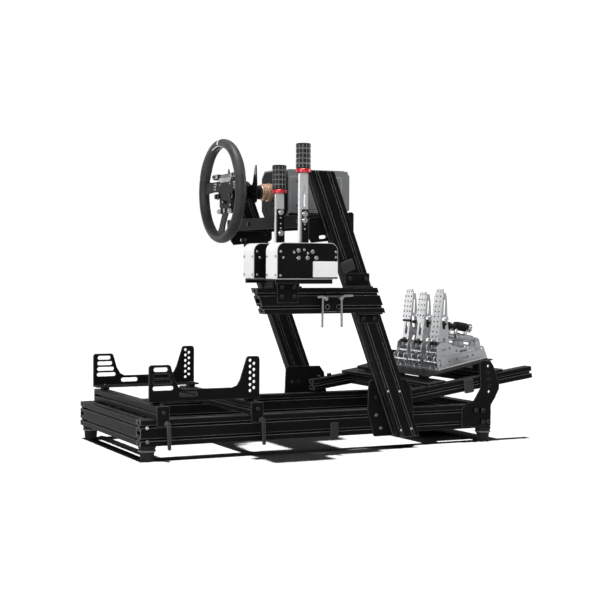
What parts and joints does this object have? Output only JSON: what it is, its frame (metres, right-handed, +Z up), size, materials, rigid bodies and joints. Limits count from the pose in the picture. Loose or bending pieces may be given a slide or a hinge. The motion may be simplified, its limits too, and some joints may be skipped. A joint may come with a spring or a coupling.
{
  "type": "sim racing cockpit",
  "caption": "Racing simulator cockpit of T-slot profiles with seat brackets, wheel base and rim, pedal deck, and a side arm carrying two hand-lever units.",
  "frame": {"origin": "on the floor, under the middle of the whole object's box", "axes": "+X from the seat end towards the pedals, +Y towards the driver's left, +Z up"},
  "size_m": [1.4224, 0.838, 1.0095],
  "materials": {
    "profile": "black anodised, satin",
    "plate": "black powder coat, fine texture",
    "rubber": "moulded black rubber",
    "lever": "bright plated",
    "pedal_metal": "brushed",
    "pedal_steel": "brushed",
    "unit_white": "white powder coat",
    "grip": "grooved soft grip",
    "motor": "dark grey satin",
    "motor_face": "black, fine grain",
    "damper": "machined barrel, black spring pack",
    "copper": "copper-coloured anodised",
    "wheel_plastic": "black, fine grain",
    "wheel_grip": "dark grey wrapped rim",
    "paddle": "black anodised"
  },
  "bodies": {
    "frame": {"side_rail_right": "profile", "side_rail_left": "profile", "base_cross_rails": "profile", "feet": "rubber", "upright_right": "profile", "upright_left": "profile", "upright_foot_plates": "plate", "pedal_rail_right": "profile", "pedal_rail_left": "profile", "pedal_support_plates": "plate", "pedal_cross_rails": "profile", "pedal_deck": "plate", "throttle_base": "pedal_steel", "brake_base": "pedal_steel", "clutch_base": "pedal_steel", "side_arm": "profile", "side_arm_brackets": "plate", "arm_clamp_block": "plate", "lever_shelf": "plate", "shelf_bracket": "plate", "shifter_housing": "unit_white", "handbrake_housing": "unit_white", "wheel_tray": "plate", "wheel_side_plates": "plate", "wheel_base_body": "motor", "wheel_base_front": "motor_face"},
    "seat_frame": {"seat_cross_rails": "profile", "seat_clamp_plates": "plate", "seat_bracket_right": "plate", "seat_bracket_left": "plate"},
    "seat_lever_rr": {"seat_lever_rear_right": "lever"},
    "seat_lever_fr": {"seat_lever_front_right": "lever"},
    "seat_lever_rl": {"seat_lever_rear_left": "lever"},
    "seat_lever_fl": {"seat_lever_front_left": "lever"},
    "throttle": {"throttle_arm": "pedal_metal", "throttle_pad": "pedal_metal"},
    "brake": {"brake_arm": "pedal_metal", "brake_pad": "pedal_metal"},
    "clutch": {"clutch_arm": "pedal_metal", "clutch_pad": "pedal_metal"},
    "throttle_damper_body": {"throttle_damper": "damper"},
    "throttle_rod_body": {"throttle_rod": "lever"},
    "brake_damper_body": {"brake_damper": "damper"},
    "brake_rod_body": {"brake_rod": "lever"},
    "clutch_damper_body": {"clutch_damper": "damper"},
    "clutch_rod_body": {"clutch_rod": "lever"},
    "arm_lever_r": {"arm_lever_rear": "lever"},
    "arm_lever_f": {"arm_lever_front": "lever"},
    "shifter": {"shifter_lever": "pedal_metal", "shifter_grip": "grip"},
    "handbrake": {"handbrake_lever": "pedal_metal", "handbrake_grip": "grip"},
    "steering": {"quick_release": "copper", "wheel_hub": "wheel_plastic", "wheel_rim": "wheel_grip"},
    "paddle_r": {"paddle_right": "paddle"},
    "paddle_l": {"paddle_left": "paddle"}
  },
  "joints": [
    {"name": "steering_turn", "type": "hinge", "parent": "frame", "child": "steering", "pos_m": [-0.32124, 0.0625, 0.837], "axis": [1, 0, 0], "range_deg": [-450, 450]},
    {"name": "paddle_right_pull", "type": "hinge", "parent": "steering", "child": "paddle_r", "pos_m": [-0.24924, 0.0245, 0.837], "axis": [0, 0, 1], "range_deg": [-6, 0], "stiffness_Nm_per_rad": 2, "springref_deg": 8.59},
    {"name": "paddle_left_pull", "type": "hinge", "parent": "steering", "child": "paddle_l", "pos_m": [-0.24924, 0.1005, 0.837], "axis": [0, 0, 1], "range_deg": [0, 6], "stiffness_Nm_per_rad": 2, "springref_deg": -8.59},
    {"name": "throttle_press", "type": "hinge", "parent": "frame", "child": "throttle", "pos_m": [0.41426, -0.1105, 0.3105], "axis": [0, 1, 0], "range_deg": [0, 16], "stiffness_Nm_per_rad": 30, "springref_deg": -6.88},
    {"name": "throttle_damper_turn", "type": "hinge", "parent": "frame", "child": "throttle_damper_body", "pos_m": [0.56076, -0.1105, 0.336], "axis": [0, 1, 0], "range_deg": [-1.76, 0]},
    {"name": "throttle_rod_turn", "type": "hinge", "parent": "throttle", "child": "throttle_rod_body", "pos_m": [0.42876, -0.1105, 0.358], "axis": [0, 1, 0], "range_deg": [-17.76, 0]},
    {"name": "brake_press", "type": "hinge", "parent": "frame", "child": "brake", "pos_m": [0.41426, -0.0045, 0.3105], "axis": [0, 1, 0], "range_deg": [0, 8], "stiffness_Nm_per_rad": 150, "springref_deg": -2.86},
    {"name": "brake_damper_turn", "type": "hinge", "parent": "frame", "child": "brake_damper_body", "pos_m": [0.56076, -0.0045, 0.336], "axis": [0, 1, 0], "range_deg": [-0.625, 0]},
    {"name": "brake_rod_turn", "type": "hinge", "parent": "brake", "child": "brake_rod_body", "pos_m": [0.42876, -0.0045, 0.358], "axis": [0, 1, 0], "range_deg": [-8.62, 0]},
    {"name": "clutch_press", "type": "hinge", "parent": "frame", "child": "clutch", "pos_m": [0.41426, 0.0905, 0.3105], "axis": [0, 1, 0], "range_deg": [0, 18], "stiffness_Nm_per_rad": 40, "springref_deg": -6.88},
    {"name": "clutch_damper_turn", "type": "hinge", "parent": "frame", "child": "clutch_damper_body", "pos_m": [0.56076, 0.0905, 0.336], "axis": [0, 1, 0], "range_deg": [-2.13, 0]},
    {"name": "clutch_rod_turn", "type": "hinge", "parent": "clutch", "child": "clutch_rod_body", "pos_m": [0.42876, 0.0905, 0.358], "axis": [0, 1, 0], "range_deg": [-20.13, 0]},
    {"name": "handbrake_pull", "type": "hinge", "parent": "frame", "child": "handbrake", "pos_m": [-0.23824, -0.2075, 0.596], "axis": [0, 1, 0], "range_deg": [-18, 0], "stiffness_Nm_per_rad": 50, "springref_deg": 4.58},
    {"name": "shifter_stroke", "type": "hinge", "parent": "frame", "child": "shifter", "pos_m": [-0.23824, -0.3785, 0.596], "axis": [0, 1, 0], "range_deg": [-8, 8], "stiffness_Nm_per_rad": 60},
    {"name": "seat_slide", "type": "slide", "parent": "frame", "child": "seat_frame", "axis": [1, 0, 0], "range_m": [-0.04, 0.2]},
    {"name": "seat_lever_rear_right_turn", "type": "hinge", "parent": "seat_frame", "child": "seat_lever_rr", "pos_m": [-0.63124, -0.2575, 0.112], "axis": [0, 1, 0], "range_deg": [-60, 60]},
    {"name": "seat_lever_front_right_turn", "type": "hinge", "parent": "seat_frame", "child": "seat_lever_fr", "pos_m": [-0.31924, -0.2575, 0.112], "axis": [0, 1, 0], "range_deg": [-60, 60]},
    {"name": "seat_lever_rear_left_turn", "type": "hinge", "parent": "seat_frame", "child": "seat_lever_rl", "pos_m": [-0.63124, 0.3825, 0.112], "axis": [0, 1, 0], "range_deg": [-60, 60]},
    {"name": "seat_lever_front_left_turn", "type": "hinge", "parent": "seat_frame", "child": "seat_lever_fl", "pos_m": [-0.31924, 0.3825, 0.112], "axis": [0, 1, 0], "range_deg": [-60, 60]},
    {"name": "arm_lever_rear_turn", "type": "hinge", "parent": "frame", "child": "arm_lever_r", "pos_m": [-0.14624, -0.3425, 0.49], "axis": [0, 1, 0], "range_deg": [-12, 60]},
    {"name": "arm_lever_front_turn", "type": "hinge", "parent": "frame", "child": "arm_lever_f", "pos_m": [-0.09324, -0.3425, 0.49], "axis": [0, 1, 0], "range_deg": [-60, 12]}
  ],
  "couplings": [
    {"joint": "throttle_damper_turn", "follows": "throttle_press", "ratio": -0.1098},
    {"joint": "throttle_rod_turn", "follows": "throttle_press", "ratio": -1.1098},
    {"joint": "brake_damper_turn", "follows": "brake_press", "ratio": -0.078},
    {"joint": "brake_rod_turn", "follows": "brake_press", "ratio": -1.078},
    {"joint": "clutch_damper_turn", "follows": "clutch_press", "ratio": -0.1182},
    {"joint": "clutch_rod_turn", "follows": "clutch_press", "ratio": -1.1182}
  ]
}
